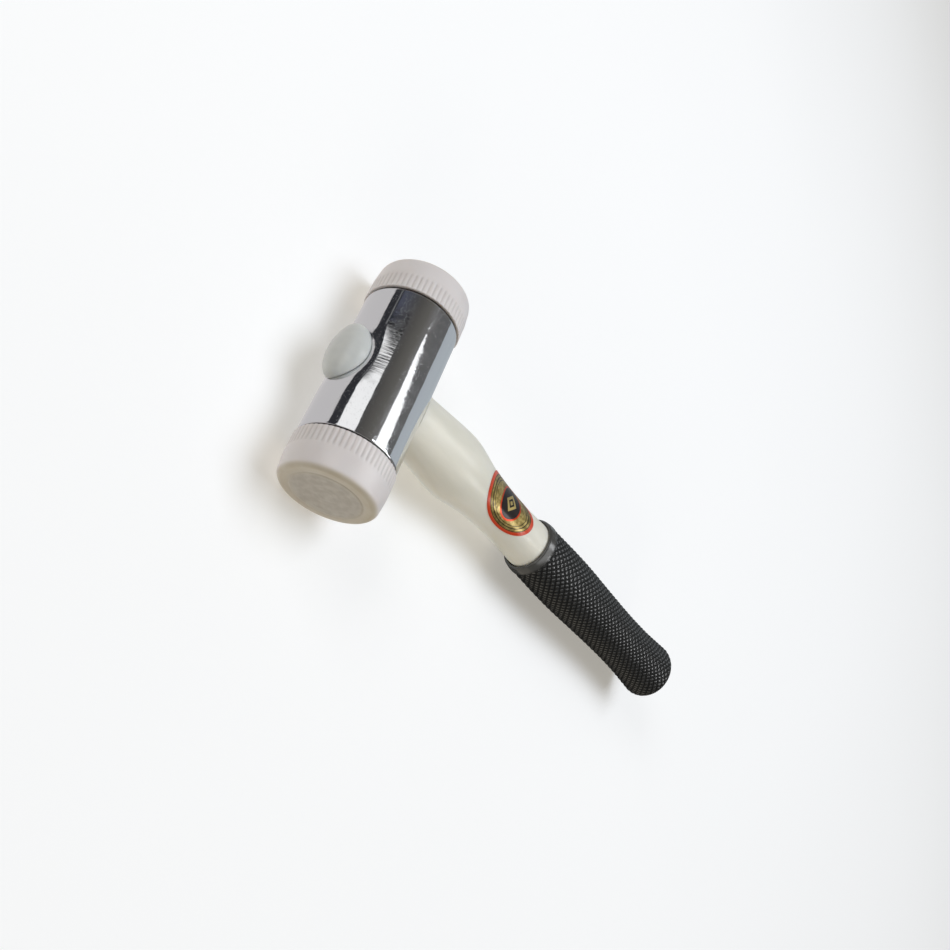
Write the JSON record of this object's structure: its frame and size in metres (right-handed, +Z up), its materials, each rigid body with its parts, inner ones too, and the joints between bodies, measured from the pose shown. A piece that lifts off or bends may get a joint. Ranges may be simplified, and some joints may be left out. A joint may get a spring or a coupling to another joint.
{
  "type": "dead blow mallet",
  "caption": "Double-faced dead blow mallet: chromed tube head with shot chambers, screw-in nylon faces, domed eye plug, swelled plastic handle and knurled rubber grip.",
  "frame": {"origin": "under the middle of the overall length and of the head, on the surface that the head lies on", "axes": "+X along the head from the left face to the right face, +Y from the grip's end to the head, +Z up with the mallet lying on its side"},
  "size_m": [0.1134, 0.295, 0.0456],
  "materials": {
    "chrome": "bright chrome plating with faint orange peel",
    "steel": "plain turned steel",
    "spring_steel": "black spring steel",
    "shot": "loose steel shot",
    "nylon": "milky moulded nylon, turned striking face",
    "white_plastic": "satin off-white polypropylene",
    "rubber": "matt black rubber with a fine moulded knurl",
    "label": "printed foil sticker, plain rings"
  },
  "bodies": {
    "head": {"head_tube": "chrome", "eye_sleeve": "steel", "eye_plug": "white_plastic", "handle": "white_plastic", "grip": "rubber", "label": "label", "left_chamber_cap": "steel", "right_chamber_cap": "steel", "left_snap_ring": "spring_steel", "right_snap_ring": "spring_steel"},
    "left_seal": {"left_seal_ring": "rubber"},
    "right_seal": {"right_seal_ring": "rubber"},
    "left_face": {"left_face": "nylon"},
    "right_face": {"right_face": "nylon"},
    "left_shot": {"left_shot_charge": "shot"},
    "right_shot": {"right_shot_charge": "shot"}
  },
  "joints": [
    {"name": "left_face_advance", "type": "slide", "parent": "head", "child": "left_seal", "axis": [-1, 0, 0], "range_m": [0, 0.009]},
    {"name": "left_face_unscrew", "type": "hinge", "parent": "left_seal", "child": "left_face", "pos_m": [-0.05, 0.1187, 0.0228], "axis": [-1, 0, 0], "range_deg": [0, 1080]},
    {"name": "right_face_advance", "type": "slide", "parent": "head", "child": "right_seal", "axis": [1, 0, 0], "range_m": [0, 0.009]},
    {"name": "right_face_unscrew", "type": "hinge", "parent": "right_seal", "child": "right_face", "pos_m": [0.05, 0.1187, 0.0228], "axis": [1, 0, 0], "range_deg": [0, 1080]},
    {"name": "left_shot_surge", "type": "slide", "parent": "head", "child": "left_shot", "axis": [-1, 0, 0], "range_m": [0, 0.0045]},
    {"name": "right_shot_surge", "type": "slide", "parent": "head", "child": "right_shot", "axis": [1, 0, 0], "range_m": [0, 0.0045]}
  ],
  "couplings": [
    {"joint": "left_face_advance", "follows": "left_face_unscrew", "m_per_rad": 0.00047746},
    {"joint": "right_face_advance", "follows": "right_face_unscrew", "m_per_rad": 0.00047746}
  ]
}
